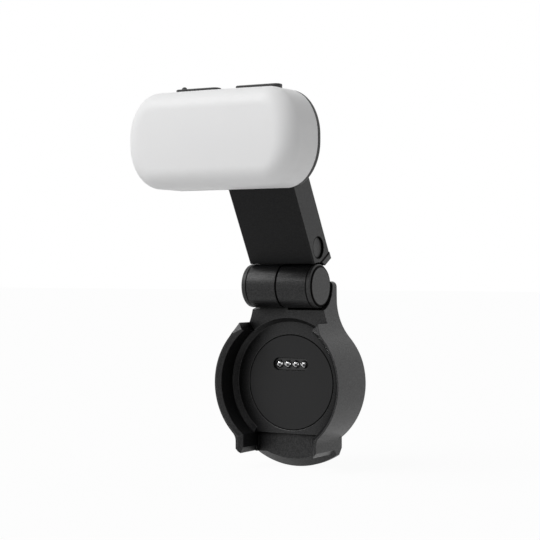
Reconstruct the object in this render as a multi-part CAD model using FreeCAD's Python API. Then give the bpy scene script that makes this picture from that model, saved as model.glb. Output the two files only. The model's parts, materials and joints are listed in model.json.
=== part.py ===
import FreeCAD, Part
import math
import os

# Clip-on fill light: motor clamp, friction hinge, leaning arm and diffuser head.
# X right, Y back, Z up. The origin is on the axis of the clamp's seat, on the seat face.
# Millimetres throughout.

# Clamp cup
seat_radius = 16.4
wall_radius = 17.5
wall_thickness = 1.4
wall_height = 8.5
rim_slope_depth = 1.2
rim_slope_width = 1.0
body_depth = 8.3
wall_end_angle = 53.3
wall_end_drop = 0.6
wall_end_chamfer_y = 1.5
wall_end_chamfer_z = 2.7

# Feet, step and tongue at the bottom of the cup
foot_outer_x = 12.3
foot_inner_x = 10.6
foot_blend_radius = 3.0
foot_corner_x = 1.3
foot_corner_z = 1.35
foot_top_z = -14.85
foot_bottom_z = -19.1
foot_back_top = 3.9
foot_back_bottom = 2.1
foot_lead_in = 1.7
plateau_cut_z = -13.8
plateau_step = 0.9
tongue_radius = 20.6
tongue_bevel = 2.3
tongue_back_y = 6.2
tongue_back_bevel = 1.5
back_edge_round = 1.2

# Neck and saddle
neck_half_width = 10.8
neck_blend_radius = 16.0
neck_proud = 1.6
neck_back_y = 7.3
neck_back_z = 16.4
taper_start_z = 5.0
horn_back_y = 7.0
horn_rise = 1.2
horn_round = 1.5

# Hinge
hinge_y = -2.7
hinge_z = 26.1
barrel_radius = 5.85
barrel_end_x = 9.15
cap_end_x = 10.7
cap_gap = 0.05
cap_round = 0.6
saddle_gap = 0.65
fused_end_x = 8.75
seam_gap = 0.3
shaft_radius = 2.5
shaft_fit = 0.03
shaft_bore_radius = 1.2
head_radius = 3.9
head_length = 1.6
head_flat = 3.3
pocket_radius = 4.2
pocket_floor_x = 7.0
washer_count = 3
washer_thickness = 0.45
washer_radius = 3.9
washer_step = 0.15
washer_floor_x = 5.6
nut_flats = 6.2
nut_height = 1.5
shaft_end_x = 8.8
spigot_radius = 4.15
spigot_wall = 0.5
spigot_length = 0.5
seam_washer_radius = 5.2

# Contact set in the seat
cover_radius = 12.9
cover_thickness = 1.2
cover_gap = 0.1
pocket_wall_radius = 11.6
pocket_depth = 6.4
slot_z = 4.9
slot_width = 10.9
slot_height = 3.45
slot_recess = 0.9
slot_gap = 0.1
pin_count = 4
pin_pitch = 2.5
pin_radius = 1.02
pin_fit = 0.05
pin_proud = 0.25
pin_travel = 0.6
pin_shoulder = 0.08
pin_shoulder_length = 0.6
pin_bore_step_y = 2.4
block_flange_width = 15.0
block_flange_height = 7.0
block_flange_y = 2.65
block_width = 12.0
block_height = 4.4
board_thickness = 0.8
board_width = 18.6
board_height = 7.6
board_screw_x = 7.8
screw_post_radius = 1.6
board_screw_depth = 1.0
spring_radius = 0.78
spring_wire = 0.12
spring_solid_length = 1.55
spring_turns = 4
spring_chords = 8
lead_radius = 0.7
lead_gap = 0.2
lead_x = -7.9
lead_low_y = 3.4
lead_high_y = 0.9
lead_above_slot = 3.1
lead_below_hinge = 3.1

# Arm
arm_lean = 30.0
arm_rise = 10.2
arm_half_width = 9.9
arm_front = -4.2
arm_back = 4.95
arm_end = -4.0
arm_top_drop = 1.8
arm_bottom_gap = 0.45
arm_edge = 0.35
arm_wall = 1.5
arm_side_wall = 1.6
cavity_start = 4.2
cavity_over_slot = 0.3
cover_plate = 1.2
cover_land = 0.7
fit_gap = 0.1
plug_radius = 2.8
plug_recess = 0.5
plug_thickness = 1.0
plug_pocket_x = 6.9
tenon_half_width = 5.6
tenon_front = -2.5
tenon_back = 3.2
tenon_top = 3.3
cross_screw_radius = 1.25
cross_head_radius = 2.4
cross_head_height = 0.9
cross_recess_radius = 0.9
slab_thickness = 2.0
slab_gap = 0.05
slab_clearance = 0.85
web_end_x = 8.4
web_gap = 0.3
pad_half_width = 8.5
pad_rise = 6.0

# Head
head_width = 48.9
head_height = 24.4
head_centre_z = 63.0
seam_y = -30.1
diffuser_depth = 14.5
rim_thickness = 0.9
corner_x = 8.6
side_flat = 1.4
front_round = 5.2
crown_radius_wide = 260.0
crown_radius_tall = 95.0
diffuser_wall = 1.5
shell_wall = 1.4
shell_edge = 1.9
lip_wall = 1.1
lip_length = 1.2
lip_gap = 0.1

# Inside the head
light_board_depth = 5.2
light_board_thickness = 1.0
spreader_thickness = 0.8
board_margin = 1.2
spreader_side_gap = 4.25
spreader_top_gap = 5.3
tray_thickness = 0.6
tray_rim = 2.4
tray_margin = 0.7
led_columns = 6
led_rows = 2
led_to_post = 3.2
led_pitch_z = 8.0
led_size = 3.0
led_height = 0.7
led_window = 3.5
post_side_gap = 6.55
post_to_spreader_edge = 2.9
post_radius = 1.9
head_screw_radius = 0.8
head_screw_head = 1.5
head_screw_head_height = 0.8
head_screw_length = 5.0
recess_share = 0.6
arm_screw_x = 6.0
arm_screw_rise = 3.8
arm_screw_drop = 3.9
arm_screw_radius = 1.0
arm_screw_head = 1.8
arm_screw_head_height = 1.1
arm_screw_depth = 4.2

# Keys
key_centre_x = 8.9
key_length = 12.7
key_depth = 3.3
key_to_seam = 2.1
key_corner = 1.4
key_proud = 1.35
key_gap = 0.15
key_edge = 0.25
key_travel = 0.5
flange_rim = 0.35
flange_thickness = 0.8
flange_gap = 0.1
nib_radius = 0.9
nib_length = 0.6
nub_radius = 0.75
nub_height = 0.7
nub_offset = 4.3
switch_gap = 0.05
switch_width = 3.0
switch_depth = 2.6
switch_height = 1.2
plunger_radius = 0.7
plunger_height = 0.35
key_board_end = 4.1
key_board_thickness = 0.8
key_board_front = 1.7
key_board_back = 2.2
rib_offset = 2.6
rib_thickness = 1.2
rib_depth = 1.6
flex_half_width = 2.5
flex_thickness = 0.3
flex_gap = 0.15
flex_slot_height = 1.4
reach = 60.0
margin = 1.0

# Values worked out from the driving dimensions
outer_radius = wall_radius + wall_thickness
saddle_radius = barrel_radius + saddle_gap
head_top_z = head_centre_z + head_height / 2
head_front_y = seam_y - diffuser_depth
corner_z = (head_height - side_flat) / 2
head_back_y = seam_y + rim_thickness + shell_edge
key_wall_z = head_top_z - diffuser_wall
shell_floor_y = head_back_y - shell_wall
arm_top_z = head_top_z - arm_top_drop
pad_bottom_z = head_centre_z - head_height / 2 + pad_rise
arm_screw_low_z = pad_bottom_z + arm_screw_rise
arm_screw_high_z = arm_top_z - arm_screw_drop
flex_slot_z = (arm_screw_low_z + arm_screw_high_z) / 2
cavity_top_z = flex_slot_z + flex_slot_height / 2 + cavity_over_slot
cavity_end = (cavity_top_z - hinge_z - arm_rise) / math.cos(math.radians(arm_lean))
light_board_y = seam_y - light_board_depth
spreader_back_y = light_board_y + spreader_thickness
spreader_half_width = head_width / 2 - spreader_side_gap
spreader_half_height = head_height / 2 - spreader_top_gap
post_x = head_width / 2 - post_side_gap
post_z = spreader_half_height - post_to_spreader_edge
led_pitch_x = (post_x - led_to_post) * 2 / (led_columns - 1)
key_centre_y = seam_y - key_to_seam
key_board_half_width = key_centre_x + key_board_end
key_board_front_y = key_centre_y - key_board_front
key_board_back_y = key_centre_y + key_board_back
rib_x = key_centre_x + rib_offset
light_board_front_y = light_board_y - light_board_thickness
pin_shoulder_radius = pin_radius + pin_shoulder
pin_shoulder_y = pin_bore_step_y + pin_fit
board_y = pin_shoulder_y + pin_shoulder_length + pin_travel + spring_solid_length
board_back_y = board_y + board_thickness

X_AXIS = FreeCAD.Vector(1, 0, 0)
Y_AXIS = FreeCAD.Vector(0, 1, 0)
Z_AXIS = FreeCAD.Vector(0, 0, 1)


def vec(x, y, z):
    return FreeCAD.Vector(x, y, z)


def block(x0, x1, y0, y1, z0, z1):
    return Part.makeBox(x1 - x0, y1 - y0, z1 - z0, vec(x0, y0, z0))


def rod_x(radius, x0, x1, y=hinge_y, z=hinge_z):
    return Part.makeCylinder(radius, x1 - x0, vec(x0, y, z), X_AXIS)


def rod_y(radius, y0, y1, x=0.0, z=0.0):
    return Part.makeCylinder(radius, y1 - y0, vec(x, y0, z), Y_AXIS)


def rod_z(radius, z0, z1, x, y):
    return Part.makeCylinder(radius, z1 - z0, vec(x, y, z0), Z_AXIS)


def prism_x(points, x0, x1):
    """Extrude a (y, z) polygon along X."""
    corners = [vec(x0, y, z) for y, z in points]
    wire = Part.makePolygon(corners + [corners[0]])
    return Part.Face(wire).extrude(vec(x1 - x0, 0, 0))


def prism_y(points, y0, y1):
    """Extrude an (x, z) polygon along Y."""
    corners = [vec(x, y0, z) for x, z in points]
    wire = Part.makePolygon(corners + [corners[0]])
    return Part.Face(wire).extrude(vec(0, y1 - y0, 0))


def arc_y(centre, radius, start, end, y):
    """Arc in the plane at height y, centre (x, z), angles in degrees from +X towards +Z."""
    points = []
    for angle in (start, (start + end) / 2, end):
        turn = math.radians(angle)
        points.append(vec(centre[0] + radius * math.cos(turn), y, centre[1] + radius * math.sin(turn)))
    return Part.Arc(*points).toShape()


def line(start, end):
    return Part.LineSegment(start, end).toShape()


def stadium(width, height, y0, y1, z):
    """Slot shape with full-round ends, along Y."""
    half = (width - height) / 2
    body = block(-half, half, y0, y1, z - height / 2, z + height / 2)
    ends = [rod_y(height / 2, y0, y1, side * half, z) for side in (-1, 1)]
    return body.fuse(ends).removeSplitter()


def rounded_block_z(half_x, half_y, corner, x, y, z0, z1):
    body = block(x - half_x, x + half_x, y - half_y, y + half_y, z0, z1)
    upright = [edge for edge in body.Edges if abs(edge.tangentAt(edge.FirstParameter).z) > 0.99]
    return body.makeFillet(corner, upright)


def edges_in_plane(shape, axis, value, kinds=None):
    """Edges that lie wholly in the plane where the given coordinate has this value."""
    found = []
    for edge in shape.Edges:
        low = getattr(edge.BoundBox, axis + "Min")
        high = getattr(edge.BoundBox, axis + "Max")
        if abs(low - value) < 0.001 and abs(high - value) < 0.001:
            if kinds is None or edge.Curve.TypeId in kinds:
                found.append(edge)
    return found


# Clamp body

def clamp_outline(y0, y1):
    """Outer outline of neck, cup and feet, extruded along Y."""
    centre_x = neck_half_width + neck_blend_radius
    centre_z = math.sqrt((outer_radius + neck_blend_radius) ** 2 - centre_x ** 2)
    blend_angle = math.degrees(math.atan2(centre_z, centre_x))
    foot_x, foot_z = foot_blend_centre()
    foot_angle = math.degrees(math.atan2(foot_z, foot_x))
    corner_top = vec(foot_outer_x, y0, foot_bottom_z + foot_corner_z)
    corner_low = vec(foot_outer_x - foot_corner_x, y0, foot_bottom_z)
    top_z = hinge_z + saddle_radius
    half = [
        line(vec(neck_half_width, y0, top_z), vec(neck_half_width, y0, centre_z)),
        arc_y((centre_x, centre_z), neck_blend_radius, 180, 180 + blend_angle, y0),
        arc_y((0, 0), outer_radius, blend_angle, foot_angle, y0),
        arc_y((foot_x, foot_z), foot_blend_radius, foot_angle + 180, 180, y0),
        line(vec(foot_outer_x, y0, foot_z), corner_top),
        line(corner_top, corner_low),
    ]
    edges = list(half)
    for edge in half:
        edges.append(edge.mirror(vec(0, 0, 0), X_AXIS))
    edges.append(line(vec(-neck_half_width, y0, top_z), vec(neck_half_width, y0, top_z)))
    edges.append(line(vec(-corner_low.x, y0, foot_bottom_z), corner_low))
    wire = Part.Wire(Part.__sortEdges__(edges))
    return Part.Face(wire).extrude(vec(0, y1 - y0, 0))


def opening_sector(y0, y1):
    """Wedge above the cup between the two wall ends."""
    turn = math.radians(wall_end_angle)
    x = reach * math.cos(turn)
    z = reach * math.sin(turn)
    return prism_y([(0, 0), (x, z), (-x, z)], y0, y1)


def cup_walls():
    """Left and right walls with feet, and the front of the neck."""
    walls = clamp_outline(-wall_height, 0)
    walls = walls.cut(rod_y(wall_radius, -wall_height, -neck_proud))
    walls = walls.cut(Part.makeCone(wall_radius, seat_radius, neck_proud, vec(0, -neck_proud, 0), Y_AXIS))
    walls = walls.cut(block(-foot_inner_x, foot_inner_x, -wall_height, 0, -reach, 0))
    walls = walls.cut(opening_sector(-wall_height, -neck_proud))
    walls = walls.cut(rim_slope())
    end_z = wall_radius * math.sin(math.radians(wall_end_angle)) - wall_end_drop
    top_z = end_z + wall_end_chamfer_z
    chamfer = [
        (-wall_height - wall_end_chamfer_y, top_z - wall_end_chamfer_z),
        (-wall_height, top_z - wall_end_chamfer_z),
        (-wall_height + wall_end_chamfer_y, top_z),
        (-wall_height + wall_end_chamfer_y, top_z + reach / 2),
        (-wall_height - wall_end_chamfer_y, top_z + reach / 2),
    ]
    walls = walls.cut(prism_x(chamfer, -reach, reach))
    for side in (-1, 1):
        lead_in = [
            (side * foot_inner_x, foot_bottom_z + foot_lead_in),
            (side * (foot_inner_x + foot_lead_in / 3), foot_bottom_z),
            (side * foot_inner_x, foot_bottom_z),
        ]
        walls = walls.cut(prism_y(lead_in, -wall_height, 0))
    return walls


def tongue():
    """Curved apron below the seat, bevelled at its front and back edges."""
    outer = tongue_radius + tongue_bevel
    bevel_y = plateau_step + tongue_bevel
    cone = Part.makeCone(tongue_radius, outer, tongue_bevel, vec(0, plateau_step, 0), Y_AXIS)
    middle = rod_y(outer, bevel_y, tongue_back_y - tongue_back_bevel)
    back = Part.makeCone(outer, outer - tongue_back_bevel, tongue_back_bevel,
                         vec(0, tongue_back_y - tongue_back_bevel, 0), Y_AXIS)
    disc = cone.fuse([middle, back])
    keep = block(-foot_outer_x, foot_outer_x, plateau_step, tongue_back_y, -reach, foot_top_z + margin)
    return disc.common(keep)


def foot_blend_centre():
    """Centre of the hollow round between the cup's outer arc and the foot."""
    x = foot_outer_x + foot_blend_radius
    return x, -math.sqrt((outer_radius + foot_blend_radius) ** 2 - x ** 2)


def rim_slope():
    """Room in front of the slanted rim face of the walls and the feet."""
    run = rim_slope_depth + margin
    spread = rim_slope_width / rim_slope_depth * run
    front_y = -wall_height - margin
    back_y = front_y + run
    cone = Part.makeCone(wall_radius + spread, wall_radius, run, vec(0, front_y, 0), Y_AXIS)
    corners = [
        vec(-foot_inner_x - spread, front_y, 0),
        vec(foot_inner_x + spread, front_y, 0),
        vec(foot_inner_x, back_y, 0),
        vec(-foot_inner_x, back_y, 0),
    ]
    wire = Part.makePolygon(corners + [corners[0]])
    return cone.fuse(Part.Face(wire).extrude(vec(0, 0, -reach)))


def seat_block():
    """Solid behind the seat, with the neck and horn."""
    seat = clamp_outline(0, body_depth)
    seat = seat.cut(block(-foot_inner_x, foot_inner_x, 0, plateau_step, -reach, plateau_cut_z))
    slope = (foot_back_top - foot_back_bottom) / (foot_top_z - foot_bottom_z)
    join_z = foot_blend_centre()[1] * outer_radius / (outer_radius + foot_blend_radius)
    foot_slope = [
        (foot_back_bottom, foot_bottom_z),
        (foot_back_top + slope * (join_z - foot_top_z), join_z),
        (body_depth, join_z),
        (body_depth, foot_bottom_z),
    ]
    behind_feet = prism_x(foot_slope, -reach, reach)
    return seat.cut(behind_feet.cut(rod_y(outer_radius, 0, body_depth)))


def side_profile():
    """Side view of the body: depth at the ring, taper up the neck, rounded horn top."""
    horn_top = hinge_z + horn_rise
    front = -wall_height - margin
    low = -tongue_radius - tongue_bevel - margin
    taper = Part.BSplineCurve()
    taper.interpolate(
        Points=[vec(0, body_depth, taper_start_z), vec(0, neck_back_y, neck_back_z)],
        Tangents=[vec(0, 0, 1), vec(0, horn_back_y - neck_back_y, hinge_z - neck_back_z).normalize()],
        TangentFlags=[True, True])
    round_z = horn_top - horn_round
    turn = math.radians(45)
    edges = [
        line(vec(0, front, low), vec(0, body_depth, low)),
        line(vec(0, body_depth, low), vec(0, body_depth, taper_start_z)),
        taper.toShape(),
        line(vec(0, neck_back_y, neck_back_z), vec(0, horn_back_y, round_z)),
        Part.Arc(vec(0, horn_back_y, round_z),
                 vec(0, horn_back_y - horn_round + horn_round * math.cos(turn),
                     round_z + horn_round * math.sin(turn)),
                 vec(0, horn_back_y - horn_round, horn_top)).toShape(),
        line(vec(0, horn_back_y - horn_round, horn_top), vec(0, front, horn_top)),
        line(vec(0, front, horn_top), vec(0, front, low)),
    ]
    face = Part.Face(Part.Wire(edges))
    face.translate(vec(-reach, 0, 0))
    return face.extrude(vec(2 * reach, 0, 0))


def left_barrel():
    """Hinge barrel that belongs to the clamp, with its shaft bore and keyed pocket."""
    return rod_x(barrel_radius, -barrel_end_x, -seam_gap / 2)


def left_barrel_bores():
    """Shaft bore, flatted seat for the shaft's head and round mouth for the cap's spigot."""
    mouth_x = -pocket_floor_x - head_length
    bore = rod_x(shaft_radius + shaft_fit, -barrel_end_x, -seam_gap / 2)
    mouth = rod_x(pocket_radius, -barrel_end_x, mouth_x)
    seat = keyed_disc(head_radius + shaft_fit, head_flat + shaft_fit, mouth_x, -pocket_floor_x)
    return bore.fuse([mouth, seat])


def keyed_disc(radius, flat, x0, x1):
    """Disc on the hinge axis with two flats."""
    disc = rod_x(radius, x0, x1)
    return disc.common(block(x0, x1, hinge_y - flat, hinge_y + flat, hinge_z - radius, hinge_z + radius))


def back_rim(body):
    """Edges round the back of the cup and up both sides of the neck."""
    rim = []
    for edge in body.Edges:
        middle = (edge.FirstParameter + edge.LastParameter) / 2
        point = edge.valueAt(middle)
        along_y = abs(edge.tangentAt(middle).y) > 0.9
        ring = edge.Curve.TypeId == "Part::GeomCircle" and edge.BoundBox.YMin > body_depth - fit_gap
        side = point.z > 0 and abs(point.x) > neck_half_width - fit_gap
        if ring or (side and not along_y and edge.BoundBox.YMin > horn_back_y - horn_round + fit_gap):
            rim.append(edge)
    return rim


def clamp_body():
    body = cup_walls().fuse([seat_block(), tongue()]).removeSplitter()
    body = body.common(side_profile())
    body = body.makeFillet(back_edge_round, back_rim(body))
    body = body.cut(rod_x(saddle_radius, -seam_gap / 2, reach))
    body = body.cut(rod_x(saddle_radius, -reach, -fused_end_x))
    body = body.fuse(left_barrel())
    body = body.cut(left_barrel_bores())
    body = body.cut(rod_y(cover_radius + cover_gap, 0, cover_thickness))
    body = body.cut(rod_y(pocket_wall_radius, 0, pocket_depth))
    body = body.cut(slanted_lead(lead_radius + lead_gap))
    posts = []
    for side in (-1, 1):
        post = rod_y(screw_post_radius, board_back_y, pocket_depth, side * board_screw_x, slot_z)
        posts.append(post)
    body = body.fuse(posts)
    for side in (-1, 1):
        hole = rod_y(head_screw_radius + fit_gap / 2, board_back_y, pocket_depth + board_screw_depth + fit_gap,
                     side * board_screw_x, slot_z)
        body = body.cut(hole)
    return body.removeSplitter()


def slanted_lead(radius):
    """Round run from the contact pocket up the neck to the shaft's head."""
    start = vec(lead_x, lead_low_y, slot_z + lead_above_slot)
    end = vec(lead_x, lead_high_y, hinge_z - lead_below_hinge)
    return Part.makeCylinder(radius, (end - start).Length, start, end - start)


def lower_lead():
    return slanted_lead(lead_radius)


# Contact set

def contact_cover():
    disc = rod_y(cover_radius, 0, cover_thickness)
    return disc.cut(stadium(slot_width, slot_height, 0, cover_thickness, slot_z))


def pin_positions():
    first = -(pin_count - 1) * pin_pitch / 2
    return [first + number * pin_pitch for number in range(pin_count)]


def contact_block():
    nose = stadium(slot_width - 2 * slot_gap, slot_height - 2 * slot_gap, slot_recess,
                   cover_thickness + slot_gap / 2, slot_z)
    flange = stadium(block_flange_width, block_flange_height, cover_thickness + slot_gap / 2,
                     block_flange_y, slot_z)
    rear = block(-block_width / 2, block_width / 2, block_flange_y, board_y,
                 slot_z - block_height / 2, slot_z + block_height / 2)
    holder = nose.fuse([flange, rear]).removeSplitter()
    for x in pin_positions():
        front_bore = rod_y(pin_radius + pin_fit, slot_recess, pin_bore_step_y, x, slot_z)
        rear_bore = rod_y(pin_shoulder_radius + pin_fit, pin_bore_step_y, board_y, x, slot_z)
        holder = holder.cut(front_bore.fuse(rear_bore))
    return holder


def contact_pin(x):
    """Turned pin with a domed tip and a shoulder that keeps it in its bore."""
    tip_y = -pin_proud
    dome = Part.makeSphere(pin_radius, vec(x, tip_y + pin_radius, slot_z))
    dome = dome.common(rod_y(2 * pin_radius, tip_y, tip_y + pin_radius, x, slot_z))
    stem = rod_y(pin_radius, tip_y + pin_radius, pin_shoulder_y + pin_shoulder_length, x, slot_z)
    shoulder = rod_y(pin_shoulder_radius, pin_shoulder_y, pin_shoulder_y + pin_shoulder_length, x, slot_z)
    return dome.fuse([stem, shoulder]).removeSplitter()


def contact_spring(x):
    """Coil spring between the pin's shoulder and the contact board, wound in short chords."""
    start = pin_shoulder_y + pin_shoulder_length + spring_wire
    rise = (board_y - spring_wire - start) / (spring_turns * spring_chords)
    points = []
    for number in range(spring_turns * spring_chords + 1):
        turn = 2 * math.pi * number / spring_chords
        points.append(vec(x + spring_radius * math.cos(turn), start + number * rise,
                          slot_z + spring_radius * math.sin(turn)))
    low = spring_radius - spring_wire
    high = spring_radius + spring_wire
    corners = [(low, -spring_wire), (high, -spring_wire), (high, spring_wire), (low, spring_wire)]
    square = [vec(x + across, start + along, slot_z) for across, along in corners]
    section = Part.makePolygon(square + [square[0]])
    return Part.makePolygon(points).makePipeShell([section], True, False, 1)


def contact_board():
    board = stadium(board_width, board_height, board_y, board_back_y, slot_z)
    for side in (-1, 1):
        board = board.cut(rod_y(head_screw_radius + fit_gap / 2, board_y, board_back_y,
                                side * board_screw_x, slot_z))
    return board


def screw_y(shaft, head, head_height, seat_y, tip_y, x, z):
    """Pan-head screw along Y with its head on the -Y side of the seat."""
    body = rod_y(shaft, seat_y, tip_y, x, z)
    top = rod_y(head, seat_y - head_height, seat_y, x, z)
    recess = rod_y(shaft * recess_share, seat_y - head_height, seat_y - head_height / 2, x, z)
    return body.fuse(top).cut(recess)


def board_screws():
    return [screw_y(head_screw_radius, head_screw_head, head_screw_head_height, board_y,
                    pocket_depth + board_screw_depth, side * board_screw_x, slot_z) for side in (-1, 1)]


# Hinge

def hinge_shaft():
    """Hollow shaft with a flatted head on the clamp side."""
    shaft = rod_x(shaft_radius, -pocket_floor_x, shaft_end_x)
    head = keyed_disc(head_radius, head_flat, -pocket_floor_x - head_length, -pocket_floor_x)
    shaft = shaft.fuse(head)
    return shaft.cut(rod_x(shaft_bore_radius, -reach, reach))


def shaft_lead():
    return rod_x(shaft_bore_radius - lead_gap, -pocket_floor_x - head_length, shaft_end_x)


def seam_washer():
    disc = rod_x(seam_washer_radius, -seam_gap / 2, seam_gap / 2)
    return disc.cut(rod_x(shaft_radius + shaft_fit, -seam_gap, seam_gap))


def friction_washers():
    washers = []
    for number in range(washer_count):
        x0 = washer_floor_x + number * washer_thickness
        disc = rod_x(washer_radius - washer_step * (number % 2), x0, x0 + washer_thickness)
        washers.append(disc.cut(rod_x(shaft_radius + shaft_fit, x0, x0 + washer_thickness)))
    return washers


def shaft_nut():
    x0 = washer_floor_x + washer_count * washer_thickness
    corner = nut_flats / math.sqrt(3)
    points = []
    for number in range(6):
        turn = math.radians(60 * number)
        points.append((hinge_y + corner * math.cos(turn), hinge_z + corner * math.sin(turn)))
    nut = prism_x(points, x0, x0 + nut_height)
    return nut.cut(rod_x(shaft_radius + shaft_fit, x0, x0 + nut_height))


def end_cap(side, grooved):
    """Round cap that closes a barrel, located by a spigot ring."""
    inner = barrel_end_x + cap_gap
    cap = rod_x(barrel_radius, inner, cap_end_x)
    outer_edge = edges_in_plane(cap, "X", cap_end_x)
    cap = cap.makeChamfer(cap_round, outer_edge) if grooved else cap.makeFillet(cap_round, outer_edge)
    spigot = rod_x(spigot_radius, inner - spigot_length, inner)
    spigot = spigot.cut(rod_x(spigot_radius - spigot_wall, inner - spigot_length, inner))
    cap = cap.fuse(spigot)
    if side < 0:
        cap = cap.mirror(vec(0, 0, 0), X_AXIS)
    return cap


# Arm, drawn upright about its cross screw and then leaned forward

def lean(shape):
    placed = shape.copy()
    placed.Placement = FreeCAD.Placement(vec(0, hinge_y, hinge_z + arm_rise),
                                         FreeCAD.Rotation(X_AXIS, arm_lean))
    return placed


def hinge_rod_in_arm(radius, x0, x1):
    """Cylinder about the hinge axis in the arm's own upright frame."""
    turn = math.radians(arm_lean)
    return rod_x(radius, x0, x1, -arm_rise * math.sin(turn), -arm_rise * math.cos(turn))


def arm_outer():
    length = (arm_top_z - hinge_z) / math.cos(math.radians(arm_lean)) + arm_back
    body = block(-arm_half_width, arm_half_width, arm_front, arm_back, arm_end, length)
    long_edges = [edge for edge in body.Edges if abs(edge.tangentAt(edge.FirstParameter).z) > 0.99]
    body = body.makeChamfer(arm_edge, long_edges)
    return body.cut(hinge_rod_in_arm(barrel_radius + arm_bottom_gap, -reach, reach))


def tenon_block(gap):
    return block(-tenon_half_width - gap, tenon_half_width + gap, tenon_front - gap, tenon_back + gap,
                 arm_end - 2 * slab_thickness, tenon_top + gap)


def arm_cavity():
    inner_x = arm_half_width - arm_side_wall
    return block(-inner_x, inner_x, arm_front + arm_wall, arm_back, cavity_start, cavity_end)


def arm_cover_seat(gap):
    inner_x = arm_half_width - arm_side_wall + cover_land - gap
    return block(-inner_x, inner_x, arm_back - cover_plate, arm_back,
                 cavity_start - cover_land + gap, cavity_end + cover_land - gap)


def head_pad():
    """Wedge on the arm's front that carries the head."""
    turn = math.radians(arm_lean)
    low_y = hinge_y + arm_front / math.cos(turn)
    low_y -= math.tan(turn) * (pad_bottom_z - hinge_z - arm_rise)
    top_y = low_y - math.tan(turn) * (arm_top_z - pad_bottom_z)
    inside = arm_wall / 2
    points = [
        (head_back_y, pad_bottom_z),
        (low_y + inside, pad_bottom_z),
        (top_y + inside, arm_top_z),
        (head_back_y, arm_top_z),
    ]
    return prism_x(points, -pad_half_width, pad_half_width)


def arm_shell():
    body = arm_outer().cut(tenon_block(fit_gap / 2))
    body = body.cut(arm_cavity())
    body = body.cut(arm_cover_seat(0))
    body = body.cut(rod_x(cross_screw_radius + fit_gap, -arm_half_width, arm_half_width, 0, 0))
    for side in (-1, 1):
        x0, x1 = sorted((side * plug_pocket_x, side * arm_half_width))
        body = body.cut(rod_x(plug_radius + fit_gap / 2, x0, x1, 0, 0))
    body = lean(body)
    above = block(-reach, reach, -reach, reach, arm_top_z, arm_top_z + reach)
    ahead = block(-reach, reach, -2 * reach, head_back_y, hinge_z, arm_top_z + reach)
    low_pad = head_pad()
    body = body.fuse(low_pad.cut(lean(arm_cavity()))).cut(above).cut(ahead)
    body = body.cut(flex_slot(shell_floor_y))
    for x in (-arm_screw_x, arm_screw_x):
        for z in (arm_screw_low_z, arm_screw_high_z):
            body = body.cut(rod_y(arm_screw_radius + fit_gap / 2, head_back_y,
                                  head_back_y + arm_screw_depth + fit_gap, x, z))
    return body.removeSplitter()


def flex_slot(front_y):
    """Passage for the flat lead from the arm's cavity into the head."""
    slot_back = hinge_y - math.tan(math.radians(arm_lean)) * (flex_slot_z - hinge_z - arm_rise)
    return block(-flex_half_width - fit_gap, flex_half_width + fit_gap, front_y, slot_back,
                 flex_slot_z - flex_slot_height / 2, flex_slot_z + flex_slot_height / 2)


def arm_back_cover():
    plate = arm_cover_seat(fit_gap)
    outer = edges_in_plane(plate, "Y", arm_back)
    return lean(plate.makeChamfer(arm_edge / 2, outer))


def arm_knuckle():
    """Right barrel, web, shoulder slab under the arm's end, and tenon inside the arm."""
    slab = block(-arm_half_width, arm_half_width, tenon_front, arm_back,
                 arm_end - slab_thickness, arm_end - slab_gap)
    slab = slab.cut(hinge_rod_in_arm(barrel_radius + slab_clearance, -reach, reach))
    tenon = tenon_block(0).cut(hinge_rod_in_arm(barrel_radius + arm_bottom_gap, -reach, seam_gap / 2))
    web_front = hinge_rod_in_arm(barrel_radius + slab_clearance + web_gap, seam_gap / 2, web_end_x)
    web_limit = block(seam_gap / 2, web_end_x, tenon_front, arm_back - slab_clearance,
                      arm_end - 2 * slab_thickness, arm_end - slab_gap)
    web = web_front.common(web_limit)
    lower_cut = block(-reach, seam_gap / 2, -reach, reach, -reach, arm_end - slab_thickness)
    upper = slab.fuse(tenon.cut(lower_cut)).fuse(web)
    upper = upper.cut(rod_x(cross_screw_radius + shaft_fit, -reach, reach, 0, 0))
    knuckle = rod_x(barrel_radius, seam_gap / 2, barrel_end_x).fuse(lean(upper))
    knuckle = knuckle.cut(rod_x(shaft_radius + shaft_fit, 0, barrel_end_x))
    knuckle = knuckle.cut(rod_x(pocket_radius, washer_floor_x, barrel_end_x))
    return knuckle.removeSplitter()


def arm_cross_screw():
    shaft = rod_x(cross_screw_radius, -plug_pocket_x - cross_head_height, plug_pocket_x, 0, 0)
    head = rod_x(cross_head_radius, plug_pocket_x, plug_pocket_x + cross_head_height, 0, 0)
    recess = rod_x(cross_recess_radius, plug_pocket_x + cross_head_height / 2,
                   plug_pocket_x + cross_head_height, 0, 0)
    return lean(shaft.fuse(head).cut(recess))


def cross_screw_nut():
    nut = rod_x(cross_head_radius, -plug_pocket_x - cross_head_height, -plug_pocket_x, 0, 0)
    return lean(nut.cut(rod_x(cross_screw_radius + shaft_fit, -reach, reach, 0, 0)))


def arm_plugs():
    outer_x = arm_half_width - plug_recess
    plugs = []
    for side in (-1, 1):
        x0, x1 = sorted((side * outer_x, side * (outer_x - plug_thickness)))
        plugs.append(lean(rod_x(plug_radius, x0, x1, 0, 0)))
    return plugs


def arm_flex():
    """Flat lead up the arm's front wall and through the passage into the head."""
    turn = math.radians(arm_lean)
    wall = arm_front + arm_wall + flex_gap
    run = block(-flex_half_width, flex_half_width, wall, wall + flex_thickness, cavity_start + 1, reach)
    run = lean(run).common(block(-reach, reach, -reach, reach, hinge_z, flex_slot_z))
    top_y = hinge_y + wall / math.cos(turn) - math.tan(turn) * (flex_slot_z - hinge_z - arm_rise)
    low = flex_slot_z - flex_thickness / 2
    level = block(-flex_half_width, flex_half_width, spreader_back_y + flex_gap,
                  top_y + flex_thickness / math.cos(turn), low, low + flex_thickness)
    return run.fuse(level).removeSplitter()


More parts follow.
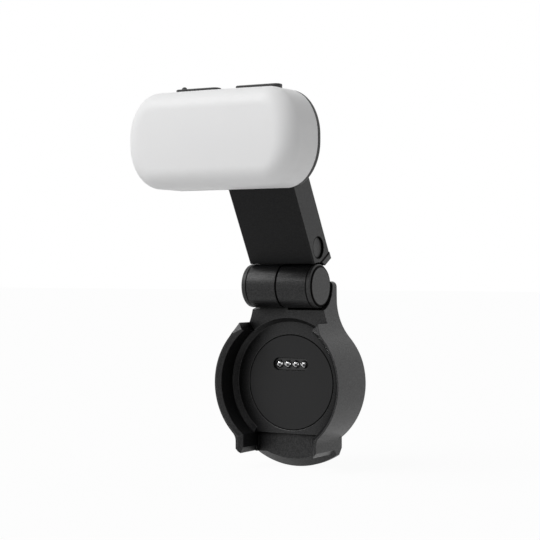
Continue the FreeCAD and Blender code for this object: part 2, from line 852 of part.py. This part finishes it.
def arm_screws():
    screws = []
    for x in (-arm_screw_x, arm_screw_x):
        for z in (arm_screw_low_z, arm_screw_high_z):
            screws.append(screw_y(arm_screw_radius, arm_screw_head, arm_screw_head_height,
                                  shell_floor_y, head_back_y + arm_screw_depth, x, z))
    return screws


# Head

def head_outline(inset, y0, y1):
    """Head outline with elliptical corners, drawn in by the inset, along Y."""
    half_x = head_width / 2 - inset
    half_z = head_height / 2 - inset
    radius_x = corner_x - inset
    radius_z = corner_z - inset
    edges = []
    corner = Part.Ellipse(vec(0, 0, 0), max(radius_x, radius_z), min(radius_x, radius_z))
    quarter = Part.ArcOfEllipse(corner, 0, math.pi / 2).toShape()
    quarter.rotate(vec(0, 0, 0), X_AXIS, 90)
    if radius_z > radius_x:
        quarter.rotate(vec(0, 0, 0), Y_AXIS, -90)
        quarter = quarter.mirror(vec(0, 0, 0), X_AXIS)
    quarter.translate(vec(half_x - radius_x, y0, half_z - radius_z))
    for flip_x in (False, True):
        for flip_z in (False, True):
            edge = quarter.copy()
            if flip_x:
                edge = edge.mirror(vec(0, 0, 0), X_AXIS)
            if flip_z:
                edge = edge.mirror(vec(0, 0, 0), Z_AXIS)
            edges.append(edge)
    flat_x = half_x - radius_x
    flat_z = half_z - radius_z
    for side in (-1, 1):
        edges.append(line(vec(-flat_x, y0, side * half_z), vec(flat_x, y0, side * half_z)))
        edges.append(line(vec(side * half_x, y0, -flat_z), vec(side * half_x, y0, flat_z)))
    wire = Part.Wire(Part.__sortEdges__(edges))
    wire.translate(vec(0, 0, head_centre_z))
    return Part.Face(wire).extrude(vec(0, y1 - y0, 0))


def crowned_form(inset, back_y):
    """Head outline with a softly crowned front and a large front edge radius."""
    front_y = head_front_y + inset
    body = head_outline(inset, front_y - margin, back_y)
    wide = crown_radius_wide - inset
    tall = crown_radius_tall - inset
    crown = Part.makeTorus(wide - tall, tall, vec(0, front_y + wide, head_centre_z), Z_AXIS)
    front_half = block(-reach, reach, front_y - margin, back_y, head_centre_z - reach, head_centre_z + reach)
    body = body.common(crown.common(front_half))
    front_edges = [edge for edge in body.Edges if edge.BoundBox.YMax < back_y - margin
                   and abs(edge.tangentAt((edge.FirstParameter + edge.LastParameter) / 2).y) < 0.5]
    return body.makeFillet(front_round - inset, front_edges)


def diffuser():
    outer = crowned_form(0, seam_y)
    inner = crowned_form(diffuser_wall, seam_y)
    body = outer.cut(inner)
    for side in (-1, 1):
        slot = rounded_block_z(key_length / 2 + key_gap, key_depth / 2 + key_gap, key_corner + key_gap,
                               side * key_centre_x, key_centre_y, key_wall_z - margin, head_top_z + margin)
        body = body.cut(slot)
    return body


def back_shell():
    shell = head_outline(0, seam_y, head_back_y)
    back_edges = edges_in_plane(shell, "Y", head_back_y)
    shell = shell.makeFillet(shell_edge, back_edges)
    hollow = head_outline(diffuser_wall + lip_gap + lip_wall, seam_y, shell_floor_y)
    shell = shell.cut(hollow)
    lip = head_outline(diffuser_wall + lip_gap, seam_y - lip_length, seam_y)
    lip = lip.cut(head_outline(diffuser_wall + lip_gap + lip_wall, seam_y - lip_length, seam_y))
    flange_reach = key_length / 2 + flange_rim + fit_gap
    for x in (-key_centre_x, key_centre_x):
        lip = lip.cut(block(x - flange_reach, x + flange_reach, seam_y - lip_length, seam_y,
                            head_centre_z, head_top_z))
    features = [lip]
    for x in (-post_x, post_x):
        for z in (-post_z, post_z):
            features.append(rod_y(post_radius, spreader_back_y, shell_floor_y, x, head_centre_z + z))
    board_bottom = key_board_top_z() - key_board_thickness
    for side in (-1, 1):
        x0, x1 = sorted((side * rib_x, side * (rib_x + rib_thickness)))
        features.append(block(x0, x1, key_board_front_y, shell_floor_y,
                              board_bottom - rib_depth, board_bottom))
    shell = shell.fuse(features)
    for x in (-post_x, post_x):
        for z in (-post_z, post_z):
            shell = shell.cut(rod_y(head_screw_radius + fit_gap / 2, spreader_back_y,
                                    spreader_back_y + head_screw_length, x, head_centre_z + z))
    for x in (-arm_screw_x, arm_screw_x):
        for z in (arm_screw_low_z, arm_screw_high_z):
            shell = shell.cut(rod_y(arm_screw_radius + fit_gap / 2, shell_floor_y, head_back_y, x, z))
    shell = shell.cut(flex_slot(shell_floor_y))
    return shell.removeSplitter()


def light_board():
    body = head_outline(diffuser_wall + board_margin, light_board_front_y, light_board_y)
    for x in (-post_x, post_x):
        for z in (-post_z, post_z):
            body = body.cut(rod_y(head_screw_radius + fit_gap / 2, light_board_front_y, light_board_y,
                                  x, head_centre_z + z))
    return body


def heat_spreader():
    plate = block(-spreader_half_width, spreader_half_width, light_board_y, spreader_back_y,
                  head_centre_z - spreader_half_height, head_centre_z + spreader_half_height)
    for x in (-post_x, post_x):
        for z in (-post_z, post_z):
            plate = plate.cut(rod_y(head_screw_radius + fit_gap / 2, light_board_y, spreader_back_y,
                                    x, head_centre_z + z))
    return plate


def led_places():
    places = []
    for column in range(led_columns):
        for row in range(led_rows):
            x = (column - (led_columns - 1) / 2) * led_pitch_x
            z = head_centre_z + (row - (led_rows - 1) / 2) * led_pitch_z
            places.append((x, z))
    return places


def leds():
    half = led_size / 2
    return [block(x - half, x + half, light_board_front_y - led_height, light_board_front_y,
                  z - half, z + half) for x, z in led_places()]


def reflector_tray():
    """White tray with a window for each light source and a raised rim."""
    front = light_board_front_y - tray_thickness
    inset = diffuser_wall + board_margin + tray_margin
    tray = head_outline(inset, front - tray_rim, light_board_front_y)
    tray = tray.cut(head_outline(inset + tray_margin, front - tray_rim, front))
    half = led_window / 2
    for x, z in led_places():
        tray = tray.cut(block(x - half, x + half, front, light_board_front_y, z - half, z + half))
    for x in (-post_x, post_x):
        for z in (-post_z, post_z):
            tray = tray.cut(rod_y(head_screw_head + fit_gap, front, light_board_front_y,
                                  x, head_centre_z + z))
    return tray


def head_screws():
    screws = []
    for x in (-post_x, post_x):
        for z in (-post_z, post_z):
            screws.append(screw_y(head_screw_radius, head_screw_head, head_screw_head_height,
                                  light_board_front_y, spreader_back_y + head_screw_length - fit_gap,
                                  x, head_centre_z + z))
    return screws


# Keys

def key_flange_bottom_z():
    return key_wall_z - flange_gap - flange_thickness


def key_board_top_z():
    gap = key_travel + switch_gap
    return key_flange_bottom_z() - nib_length - gap - plunger_height - switch_height


def key(side, with_nub):
    """Push key: cap through the slot, flange under the wall, nib over the switch."""
    x = side * key_centre_x
    top_z = head_top_z + key_proud
    bottom_z = key_flange_bottom_z()
    cap = rounded_block_z(key_length / 2, key_depth / 2, key_corner, x, key_centre_y, bottom_z, top_z)
    cap = cap.makeFillet(key_edge, edges_in_plane(cap, "Z", top_z))
    flange = rounded_block_z(key_length / 2 + flange_rim, key_depth / 2 + flange_rim,
                             key_corner + flange_rim, x, key_centre_y,
                             bottom_z, bottom_z + flange_thickness)
    nib = rod_z(nib_radius, bottom_z - nib_length, bottom_z, x, key_centre_y)
    parts = [flange, nib]
    if with_nub:
        nub_x = x + side * nub_offset
        nub = Part.makeSphere(nub_radius, vec(nub_x, key_centre_y, top_z + nub_height - nub_radius))
        above = block(-reach, reach, -reach, reach, top_z - key_edge, top_z + nub_height)
        parts.append(nub.common(above))
    return cap.fuse(parts).removeSplitter()


def key_board():
    top = key_board_top_z()
    return block(-key_board_half_width, key_board_half_width, key_board_front_y, key_board_back_y,
                 top - key_board_thickness, top)


def key_switches():
    top = key_board_top_z()
    switches = []
    for side in (-1, 1):
        x = side * key_centre_x
        body = block(x - switch_width / 2, x + switch_width / 2, key_centre_y - switch_depth / 2,
                     key_centre_y + switch_depth / 2, top, top + switch_height)
        plunger = rod_z(plunger_radius, top + switch_height, top + switch_height + plunger_height,
                        x, key_centre_y)
        switches.append(body.fuse(plunger))
    return switches


def save(name, shape):
    if isinstance(shape, list):
        shape = Part.makeCompound(shape)
    shape.exportStep(os.path.join("parts", name + ".step"))
    print(name, len(shape.Solids), round(shape.Volume, 2), shape.isValid())


def main():
    os.makedirs("parts", exist_ok=True)
    save("clamp_body", clamp_body())
    save("contact_cover", contact_cover())
    save("contact_block", contact_block())
    for number, x in enumerate(pin_positions(), start=1):
        save("contact_pin_%d" % number, contact_pin(x))
        save("contact_spring_%d" % number, contact_spring(x))
    save("contact_board", contact_board())
    save("board_screws", board_screws())
    save("lower_lead", lower_lead())
    save("hinge_shaft", hinge_shaft())
    save("shaft_lead", shaft_lead())
    save("seam_washer", seam_washer())
    save("friction_washers", friction_washers())
    save("shaft_nut", shaft_nut())
    save("left_end_cap", end_cap(-1, False))
    save("right_end_cap", end_cap(1, True))
    save("arm_knuckle", arm_knuckle())
    save("arm_shell", arm_shell())
    save("arm_back_cover", arm_back_cover())
    save("arm_cross_screw", arm_cross_screw())
    save("cross_screw_nut", cross_screw_nut())
    save("arm_plugs", arm_plugs())
    save("arm_flex", arm_flex())
    save("arm_screws", arm_screws())
    save("back_shell", back_shell())
    save("diffuser", diffuser())
    save("led_board", light_board())
    save("heat_spreader", heat_spreader())
    save("leds", leds())
    save("reflector_tray", reflector_tray())
    save("head_screws", head_screws())
    save("power_key", key(-1, True))
    save("mode_key", key(1, False))
    save("key_board", key_board())
    save("key_switches", key_switches())


main()
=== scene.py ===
import json
import bpy
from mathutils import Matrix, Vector


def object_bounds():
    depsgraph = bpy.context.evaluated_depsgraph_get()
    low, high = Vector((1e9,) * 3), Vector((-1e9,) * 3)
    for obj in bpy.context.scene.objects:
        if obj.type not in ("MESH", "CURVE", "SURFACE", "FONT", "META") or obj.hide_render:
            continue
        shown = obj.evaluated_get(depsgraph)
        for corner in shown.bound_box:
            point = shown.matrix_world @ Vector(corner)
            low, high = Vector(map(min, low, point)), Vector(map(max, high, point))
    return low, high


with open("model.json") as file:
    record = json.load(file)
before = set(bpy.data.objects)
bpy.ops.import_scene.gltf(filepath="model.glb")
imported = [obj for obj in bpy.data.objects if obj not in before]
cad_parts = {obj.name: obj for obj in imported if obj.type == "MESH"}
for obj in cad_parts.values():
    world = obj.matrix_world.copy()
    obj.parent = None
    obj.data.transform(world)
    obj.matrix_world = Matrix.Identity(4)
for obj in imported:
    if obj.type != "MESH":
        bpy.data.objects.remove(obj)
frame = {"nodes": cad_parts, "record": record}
cad_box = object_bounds()

MM = 0.001

# Places in the part's own frame, in mm.
seat_centre = (0, 0, 0)
hinge = (0, -2.7, 26.1)
plug_centre = (0, -2.7, 36.3)
arm_end_normal = (0, -0.5, 0.866)
barrel_inner = 5.95
barrel_outer = 6.1

# Painted shade in the joint gaps, each a band between two distances in mm.
cover_band = (12.72, 13.0)
seam_band = (-1, 0.28)
barrel_end_band = (8.98, 9.3)
cap_start_band = (9.1, 9.32)
cap_face_band = (4.98, 5.5)
plug_band = (2.6, 3.0)
pocket_band = (2.75, 3.05)
slab_band = (-4.5, -3.9)
arm_end_band = (-4.5, -3.85)
line_softness = 0.06

# Tones of the nearly black mouldings, and the dark colour of the painted shade in their corners and
# joint gaps.
deep_black = ((0.0055, 0.0055, 0.006), (0.0075, 0.0075, 0.008))
painted_shade_black = (0.0006, 0.0006, 0.0006)


def node(tree, kind, x=0, y=0, **values):
    made = tree.nodes.new(kind)
    made.location = (x, y)
    for key, value in values.items():
        setattr(made, key, value)
    return made


def new_material(name):
    material = bpy.data.materials.new(name)
    material.use_nodes = True
    tree = material.node_tree
    tree.nodes.clear()
    output = node(tree, "ShaderNodeOutputMaterial", 900)
    shader = node(tree, "ShaderNodeBsdfPrincipled", 600)
    tree.links.new(shader.outputs["BSDF"], output.inputs["Surface"])
    return material, tree, shader


def noise(tree, scale, detail=2.0, roughness=0.5, stretch=None):
    """Noise in the part's own metres; scale is cycles per metre."""
    place = node(tree, "ShaderNodeTexCoord", -900)
    source = place.outputs["Object"]
    if stretch:
        mapping = node(tree, "ShaderNodeMapping", -700)
        mapping.inputs["Scale"].default_value = stretch
        tree.links.new(source, mapping.inputs["Vector"])
        source = mapping.outputs["Vector"]
    made = node(tree, "ShaderNodeTexNoise", -500)
    made.inputs["Scale"].default_value = scale
    made.inputs["Detail"].default_value = detail
    made.inputs["Roughness"].default_value = roughness
    tree.links.new(source, made.inputs["Vector"])
    return made.outputs["Fac"]


def spread(tree, source, low, high, from_low=0.3, from_high=0.7):
    """The source's range from_low to from_high, spread over low to high."""
    made = node(tree, "ShaderNodeMapRange", -250)
    made.inputs["From Min"].default_value = from_low
    made.inputs["From Max"].default_value = from_high
    made.inputs["To Min"].default_value = low
    made.inputs["To Max"].default_value = high
    tree.links.new(source, made.inputs["Value"])
    return made.outputs["Result"]


def colour_between(tree, factor, first, second):
    made = node(tree, "ShaderNodeMix", -50, data_type="RGBA")
    made.inputs["A"].default_value = (*first, 1)
    made.inputs["B"].default_value = (*second, 1)
    tree.links.new(factor, made.inputs["Factor"])
    return made.outputs["Result"]


def bump(tree, height, distance, strength, under=None):
    made = node(tree, "ShaderNodeBump", 300)
    made.inputs["Distance"].default_value = distance
    made.inputs["Strength"].default_value = strength
    tree.links.new(height, made.inputs["Height"])
    if under is not None:
        tree.links.new(under, made.inputs["Normal"])
    return made.outputs["Normal"]


def soft_edge(tree, radius):
    made = node(tree, "ShaderNodeBevel", 100, samples=6)
    made.inputs["Radius"].default_value = radius
    return made.outputs["Normal"]


def larger(tree, first, second):
    made = node(tree, "ShaderNodeMath", -100, -1100, operation="MAXIMUM")
    tree.links.new(first, made.inputs[0])
    tree.links.new(second, made.inputs[1])
    return made.outputs[0]


def times(tree, *factors):
    """Product of the sockets and numbers."""
    result, *others = factors
    for factor in others:
        made = node(tree, "ShaderNodeMath", 0, -300, operation="MULTIPLY")
        for socket, value in zip(made.inputs, (result, factor)):
            if isinstance(value, float):
                socket.default_value = value
            else:
                tree.links.new(value, socket)
        result = made.outputs[0]
    return result


def openness(tree, reach_mm):
    """Painted shade factor: near 0 in corners and deep inside walls, 1 on surfaces that look out
    freely.
    """
    made = node(tree, "ShaderNodeAmbientOcclusion", -500, -300, samples=8, only_local=True)
    made.inputs["Distance"].default_value = reach_mm * MM
    return spread(tree, made.outputs["AO"], 0, 1, 0.42, 0.85)


def faces(tree, direction):
    """How far the surface faces the direction, 1 where it does so fully."""
    place = node(tree, "ShaderNodeTexCoord", -900, -500)
    dot = node(tree, "ShaderNodeVectorMath", -700, -500, operation="DOT_PRODUCT")
    dot.inputs[1].default_value = direction
    tree.links.new(place.outputs["Normal"], dot.inputs[0])
    return dot.outputs["Value"]


def edge_light(tree, rounded, gain):
    """Painted highlight on the shine: 1 on flat surfaces, up to the given gain where an edge is
    broken.
    """
    flat = node(tree, "ShaderNodeNewGeometry", -500, -700)
    dot = node(tree, "ShaderNodeVectorMath", -300, -700, operation="DOT_PRODUCT")
    tree.links.new(flat.outputs["Normal"], dot.inputs[0])
    tree.links.new(rounded, dot.inputs[1])
    return spread(tree, dot.outputs["Value"], gain, 1, 0.85, 0.99)


def offset_from(tree, centre_mm):
    """Vector in metres from the centre to the shaded point."""
    place = node(tree, "ShaderNodeTexCoord", -1100, -900)
    offset = node(tree, "ShaderNodeVectorMath", -900, -900, operation="SUBTRACT")
    offset.inputs[1].default_value = [value * MM for value in centre_mm]
    tree.links.new(place.outputs["Object"], offset.inputs[0])
    return offset.outputs["Vector"]


def radius_about(tree, centre_mm, across):
    """Distance in metres from an axis through the centre, measured in the plane given by across."""
    flat = node(tree, "ShaderNodeVectorMath", -700, -900, operation="MULTIPLY")
    flat.inputs[1].default_value = across
    length = node(tree, "ShaderNodeVectorMath", -500, -900, operation="LENGTH")
    tree.links.new(offset_from(tree, centre_mm), flat.inputs[0])
    tree.links.new(flat.outputs["Vector"], length.inputs[0])
    return length.outputs["Value"]


def height_along(tree, centre_mm, direction):
    """Distance in metres from the centre along the direction."""
    dot = node(tree, "ShaderNodeVectorMath", -700, -900, operation="DOT_PRODUCT")
    dot.inputs[1].default_value = direction
    tree.links.new(offset_from(tree, centre_mm), dot.inputs[0])
    return dot.outputs["Value"]


def painted_gap_shade(tree, distance, band, dark=0.15):
    """Painted shade line: dark where the distance lies in the band, 1 elsewhere."""
    low, high = band
    before = spread(tree, distance, 1, dark, (low - line_softness) * MM, low * MM)
    after = spread(tree, distance, dark, 1, high * MM, (high + line_softness) * MM)
    return larger(tree, before, after)


def cover_gap_shade(tree):
    """Painted shade in the joint gap round the flush disc in the seat."""
    return [painted_gap_shade(tree, radius_about(tree, seat_centre, (1, 0, 1)), cover_band)]


def barrel_gap_shade(tree):
    """Painted shade in the joint gaps in the middle and at the ends of the hinge barrels, and at
    the slab.
    """
    along = radius_about(tree, hinge, (1, 0, 0))
    around = radius_about(tree, hinge, (0, 1, 1))
    off_barrel = spread(tree, around, 0, 1, barrel_inner * MM, barrel_outer * MM)
    on_barrel = spread(tree, off_barrel, 1, 0, 0, 1)
    # Painted shade in the joint gaps of the barrels and along the slab.
    joints = times(tree, painted_gap_shade(tree, along, seam_band, 0.1), painted_gap_shade(tree, along, barrel_end_band))
    slab = painted_gap_shade(tree, height_along(tree, plug_centre, arm_end_normal), slab_band, 0.05)
    return [larger(tree, joints, off_barrel), larger(tree, slab, on_barrel)]


def cap_gap_shade(tree):
    """Painted shade in the joint gap between barrel and cap, at the step round the cap's face and
    at the plug's rim.
    """
    along = radius_about(tree, hinge, (1, 0, 0))
    around = radius_about(tree, hinge, (0, 1, 1))
    plug = radius_about(tree, plug_centre, (0, 1, 1))
    return [painted_gap_shade(tree, along, cap_start_band), painted_gap_shade(tree, around, cap_face_band, 0.05),
            painted_gap_shade(tree, plug, plug_band, 0.1)]


def arm_gap_shade(tree):
    """Painted shade at the rim of the plug's pocket and in the joint gap to the shoulder slab."""
    plug = radius_about(tree, plug_centre, (0, 1, 1))
    end = height_along(tree, plug_centre, arm_end_normal)
    return [painted_gap_shade(tree, plug, pocket_band, 0.1), painted_gap_shade(tree, end, arm_end_band, 0.05)]


def moulded(name, colours, roughness, grain, specular, edge_mm=0.12, shade_reach_mm=0.0, underside_shade=1.0,
            speckle=0.0, lines=None, edge_highlight_gain=1.0):
    """Moulded plastic: eroded grain that catches the light, broken edges with a painted highlight,
    and painted shade in corners and joint gaps.

    The grain is its size and depth in mm and its strength. A factor below 1 paints shade that dims
    the shine of what faces downwards, and speckle lets the grain vary the shine.
    """
    material, tree, shader = new_material(name)
    grain_mm, depth_mm, strength = grain
    body = colour_between(tree, noise(tree, 55, 3), *colours)
    tree.links.new(spread(tree, noise(tree, 1500, 2), *roughness), shader.inputs["Roughness"])
    pores = noise(tree, 1 / (grain_mm * MM), 2, 0.6)
    rounded = soft_edge(tree, edge_mm * MM)
    # Painted shade: corners and joint gaps darken the colour towards the painted shade colour and
    # dim the shine.
    shade = [openness(tree, shade_reach_mm)] if shade_reach_mm else []
    if lines:
        shade += lines(tree)
    if shade:
        dim = node(tree, "ShaderNodeMix", 200, 300, data_type="RGBA")
        dim.inputs["A"].default_value = (*painted_shade_black, 1)
        tree.links.new(times(tree, *shade), dim.inputs["Factor"])
        tree.links.new(body, dim.inputs["B"])
        body = dim.outputs["Result"]
    tree.links.new(body, shader.inputs["Base Color"])
    # Painted shade: dims the shine on surfaces that face downwards.
    if underside_shade < 1:
        shade.append(spread(tree, faces(tree, (0, 0, 1)), underside_shade, 1, -0.4, -0.1))
    if speckle:
        shade.append(spread(tree, pores, 1 - speckle, 1 + speckle, 0.38, 0.62))
    # Painted highlight: brightens the shine along broken edges.
    if edge_highlight_gain > 1:
        shade.append(edge_light(tree, rounded, edge_highlight_gain))
    if shade:
        tree.links.new(times(tree, *shade, specular), shader.inputs["Specular IOR Level"])
    else:
        shader.inputs["Specular IOR Level"].default_value = specular
    tree.links.new(bump(tree, pores, depth_mm * MM, strength, rounded), shader.inputs["Normal"])
    return material


def metal(name, colour, roughness, stretch=(1, 1, 1)):
    """Plated or turned metal with fine lines that run across the stretched axis."""
    material, tree, shader = new_material(name)
    shader.inputs["Metallic"].default_value = 1
    lines = noise(tree, 2600, 3, 0.6, stretch)
    tint = [share * 0.86 for share in colour]
    tree.links.new(colour_between(tree, noise(tree, 300, 2), tint, colour),
                   shader.inputs["Base Color"])
    tree.links.new(spread(tree, lines, *roughness), shader.inputs["Roughness"])
    tree.links.new(bump(tree, lines, 0.01 * MM, 0.2, soft_edge(tree, 0.06 * MM)),
                   shader.inputs["Normal"])
    return material


def plated_pin():
    """Polished pin: painted reflections, dark at the tip, bright on the flanks with a dull streak
    at the upper left, and painted shade on what faces downwards.
    """
    material, tree, shader = new_material("pin_plated")
    shader.inputs["Metallic"].default_value = 1
    # Painted reflections and shade, set by which way the surface faces.
    painted_reflection_mask = times(tree, spread(tree, faces(tree, (0.36, -0.92, -0.14)), 1, 0, 0.86, 0.94),
                  spread(tree, faces(tree, (-0.08, -0.93, 0.36)), 1, 0.15, 0.96, 0.985),
                  spread(tree, faces(tree, (0, 0, -1)), 1, 0.5, 0.2, 0.6))
    tree.links.new(colour_between(tree, painted_reflection_mask, (0.05, 0.05, 0.052), (0.88, 0.88, 0.88)),
                   shader.inputs["Base Color"])
    lines = noise(tree, 2600, 3, 0.6)
    tree.links.new(spread(tree, lines, 0.1, 0.2), shader.inputs["Roughness"])
    tree.links.new(bump(tree, lines, 0.004 * MM, 0.2), shader.inputs["Normal"])
    return material


def frosted_white():
    """Milky diffuser: satin skin over a slightly uneven white body."""
    material, tree, shader = new_material("diffuser_white")
    body = colour_between(tree, noise(tree, 40, 2), (0.84, 0.84, 0.845), (0.88, 0.88, 0.88))
    tree.links.new(body, shader.inputs["Base Color"])
    tree.links.new(spread(tree, noise(tree, 500, 3), 0.44, 0.54), shader.inputs["Roughness"])
    shader.inputs["Specular IOR Level"].default_value = 0.4
    shader.inputs["Subsurface Weight"].default_value = 0.15
    shader.inputs["Subsurface Radius"].default_value = (1, 1, 1)
    shader.inputs["Subsurface Scale"].default_value = 0.8 * MM
    tree.links.new(bump(tree, noise(tree, 9000, 2), 0.012 * MM, 0.25), shader.inputs["Normal"])
    return material


def board(name, lacquer, copper_run):
    """Lacquered circuit board with faint copper runs under the lacquer."""
    material, tree, shader = new_material(name)
    place = node(tree, "ShaderNodeTexCoord", -900)
    runs = node(tree, "ShaderNodeTexBrick", -500)
    runs.inputs["Scale"].default_value = 260
    runs.inputs["Mortar Size"].default_value = 0.08
    tree.links.new(place.outputs["Object"], runs.inputs["Vector"])
    tree.links.new(colour_between(tree, runs.outputs["Fac"], lacquer, copper_run),
                   shader.inputs["Base Color"])
    tree.links.new(spread(tree, noise(tree, 700, 2), 0.28, 0.4), shader.inputs["Roughness"])
    tree.links.new(bump(tree, runs.outputs["Fac"], 0.02 * MM, 0.5), shader.inputs["Normal"])
    return material


def resin():
    """Cast phosphor over each light source."""
    material, tree, shader = new_material("led_yellow")
    speck = noise(tree, 6000, 3)
    tree.links.new(colour_between(tree, speck, (0.78, 0.6, 0.12), (0.9, 0.78, 0.3)),
                   shader.inputs["Base Color"])
    tree.links.new(spread(tree, speck, 0.25, 0.4), shader.inputs["Roughness"])
    tree.links.new(bump(tree, speck, 0.01 * MM, 0.3), shader.inputs["Normal"])
    return material


materials = {
    "body_black": moulded("body_black", deep_black, (0.34, 0.40), (0.26, 0.04, 0.5), 0.37,
                          edge_mm=0.3, shade_reach_mm=12.0, speckle=0.35, lines=barrel_gap_shade,
                          edge_highlight_gain=1.9),
    "cover_black": moulded("cover_black", ((0.009, 0.009, 0.0095), (0.011, 0.011, 0.0115)),
                           (0.36, 0.42), (0.3, 0.01, 0.3), 0.27,
                           edge_mm=0.1, shade_reach_mm=5.0, speckle=0.06, lines=cover_gap_shade),
    "block_black": moulded("block_black", ((0.014, 0.014, 0.0145), (0.018, 0.018, 0.0185)),
                           (0.34, 0.42), (0.12, 0.01, 0.2), 0.5),
    "circuit_board": board("circuit_board", (0.012, 0.07, 0.035), (0.03, 0.14, 0.07)),
    "screw_steel": metal("screw_steel", (0.56, 0.56, 0.57), (0.22, 0.36)),
    "lead_black": moulded("lead_black", ((0.012, 0.012, 0.012), (0.018, 0.018, 0.018)),
                          (0.55, 0.7), (0.2, 0.02, 0.4), 0.3),
    "shaft_steel": metal("shaft_steel", (0.57, 0.57, 0.59), (0.2, 0.34), (6, 1, 1)),
    "washer_black": moulded("washer_black", ((0.002, 0.002, 0.002), (0.003, 0.003, 0.003)),
                            (0.5, 0.6), (0.15, 0.01, 0.3), 0.06),
    "washer_steel": metal("washer_steel", (0.52, 0.52, 0.54), (0.26, 0.4)),
    "cap_black": moulded("cap_black", ((0.011, 0.011, 0.0115), (0.015, 0.015, 0.0155)),
                         (0.40, 0.48), (0.3, 0.03, 0.5), 0.42,
                         edge_mm=0.2, speckle=0.2, lines=cap_gap_shade, edge_highlight_gain=1.5),
    "arm_black": moulded("arm_black", deep_black, (0.44, 0.52), (0.3, 0.03, 0.5), 0.38,
                         edge_mm=0.2, shade_reach_mm=3.0, underside_shade=0.42, speckle=0.18, lines=arm_gap_shade,
                         edge_highlight_gain=1.5),
    "flex_amber": moulded("flex_amber", ((0.30, 0.13, 0.02), (0.42, 0.22, 0.05)),
                          (0.2, 0.3), (0.4, 0.01, 0.2), 0.5),
    "shell_black": moulded("shell_black", deep_black, (0.44, 0.52), (0.3, 0.03, 0.5), 0.36,
                           edge_mm=0.2, speckle=0.15, edge_highlight_gain=1.5),
    "diffuser_white": frosted_white(),
    "board_white": board("board_white", (0.78, 0.78, 0.78), (0.84, 0.84, 0.84)),
    "spreader_aluminium": metal("spreader_aluminium", (0.72, 0.72, 0.73), (0.3, 0.45), (1, 1, 8)),
    "led_yellow": resin(),
    "tray_white": moulded("tray_white", ((0.80, 0.80, 0.80), (0.85, 0.85, 0.85)),
                          (0.4, 0.5), (0.2, 0.01, 0.2), 0.4),
    "key_black": moulded("key_black", ((0.016, 0.016, 0.0165), (0.021, 0.021, 0.0215)),
                         (0.40, 0.5), (0.12, 0.015, 0.4), 0.4),
    "switch_metal": metal("switch_metal", (0.62, 0.62, 0.62), (0.25, 0.4)),
    "pin_plated": plated_pin(),
    "spring_steel": metal("spring_steel", (0.6, 0.6, 0.61), (0.2, 0.3)),
}

for part in frame["record"]["subparts"]:
    shown = frame["nodes"][part["node"]]
    shown.data.materials.clear()
    shown.data.materials.append(materials[part["material_slot"]])


def seen_or_mirrored(tree):
    """1 for rays from the camera, off shiny surfaces and through clear ones, else 0."""
    ray = node(tree, "ShaderNodeLightPath", -600)
    seen = larger(tree, ray.outputs["Is Camera Ray"], ray.outputs["Is Glossy Ray"])
    return larger(tree, seen, ray.outputs["Is Transmission Ray"])


def mixed(tree, factor, first, second, output):
    """Shows the first shader at factor 0 and the second at factor 1."""
    mix = node(tree, "ShaderNodeMixShader", 300)
    tree.links.new(factor, mix.inputs["Fac"])
    tree.links.new(first.outputs[0], mix.inputs[1])
    tree.links.new(second.outputs[0], mix.inputs[2])
    tree.links.new(mix.outputs[0], output.inputs["Surface"])


def stage_material(name, pale, white_share):
    """Pale matte floor that camera and reflections see as white, and that keeps shadows."""
    material = bpy.data.materials.new(name)
    material.use_nodes = True
    tree = material.node_tree
    tree.nodes.clear()
    output = node(tree, "ShaderNodeOutputMaterial", 600)
    matte = node(tree, "ShaderNodeBsdfDiffuse", 0)
    matte.inputs["Color"].default_value = (pale, pale, pale, 1)
    white = node(tree, "ShaderNodeEmission", 0, -200)
    white.inputs["Color"].default_value = (1, 1, 1, 1)
    mixed(tree, times(tree, seen_or_mirrored(tree), white_share), matte, white, output)
    return material


floor_gap = 0.0002
floor_reach = 3.0
floor_z = cad_box[0].z - floor_gap
corners = [(-floor_reach, -floor_reach, floor_z), (floor_reach, -floor_reach, floor_z),
           (floor_reach, floor_reach, floor_z), (-floor_reach, floor_reach, floor_z)]
floor_mesh = bpy.data.meshes.new("floor")
floor_mesh.from_pydata(corners, [], [[0, 1, 2, 3]])
floor = bpy.data.objects.new("floor", floor_mesh)
bpy.context.scene.collection.objects.link(floor)
floor_mesh.materials.append(stage_material("floor_pale", 0.85, 0.95))

key_data = bpy.data.lights.new("key", "SUN")
key_data.energy = 2.05
key_data.angle = 0.7
key_place = Vector((-0.28, -0.46, 0.54))
key = bpy.data.objects.new("key", key_data)
key.location = key_place
key.rotation_mode = "QUATERNION"
key.rotation_quaternion = (-key_place).to_track_quat("-Z", "Y")
bpy.context.scene.collection.objects.link(key)

world = bpy.data.worlds.new("studio")
bpy.context.scene.world = world
world.use_nodes = True
world.node_tree.nodes.clear()
sky = node(world.node_tree, "ShaderNodeOutputWorld", 600)
soft_light = node(world.node_tree, "ShaderNodeBackground", 0)
soft_light.inputs["Color"].default_value = (0.27, 0.27, 0.27, 1)
white_sky = node(world.node_tree, "ShaderNodeBackground", 0, -200)
white_sky.inputs["Color"].default_value = (1, 1, 1, 1)
mixed(world.node_tree, seen_or_mirrored(world.node_tree), soft_light, white_sky, sky)

camera_data = bpy.data.cameras.new("camera")
camera_data.sensor_width = 36
camera_data.lens = 104
camera_data.shift_y = -0.0037
camera_data.clip_start = 0.01
camera_data.clip_end = 20
camera = bpy.data.objects.new("camera", camera_data)
camera.location = (0.2058, -0.3677, 0.0309)
camera.rotation_mode = "QUATERNION"
camera.rotation_quaternion = Vector((-0.5, 0.8660254, 0)).to_track_quat("-Z", "Y")
bpy.context.scene.collection.objects.link(camera)
bpy.context.scene.camera = camera
bpy.context.scene.view_settings.view_transform = "Standard"
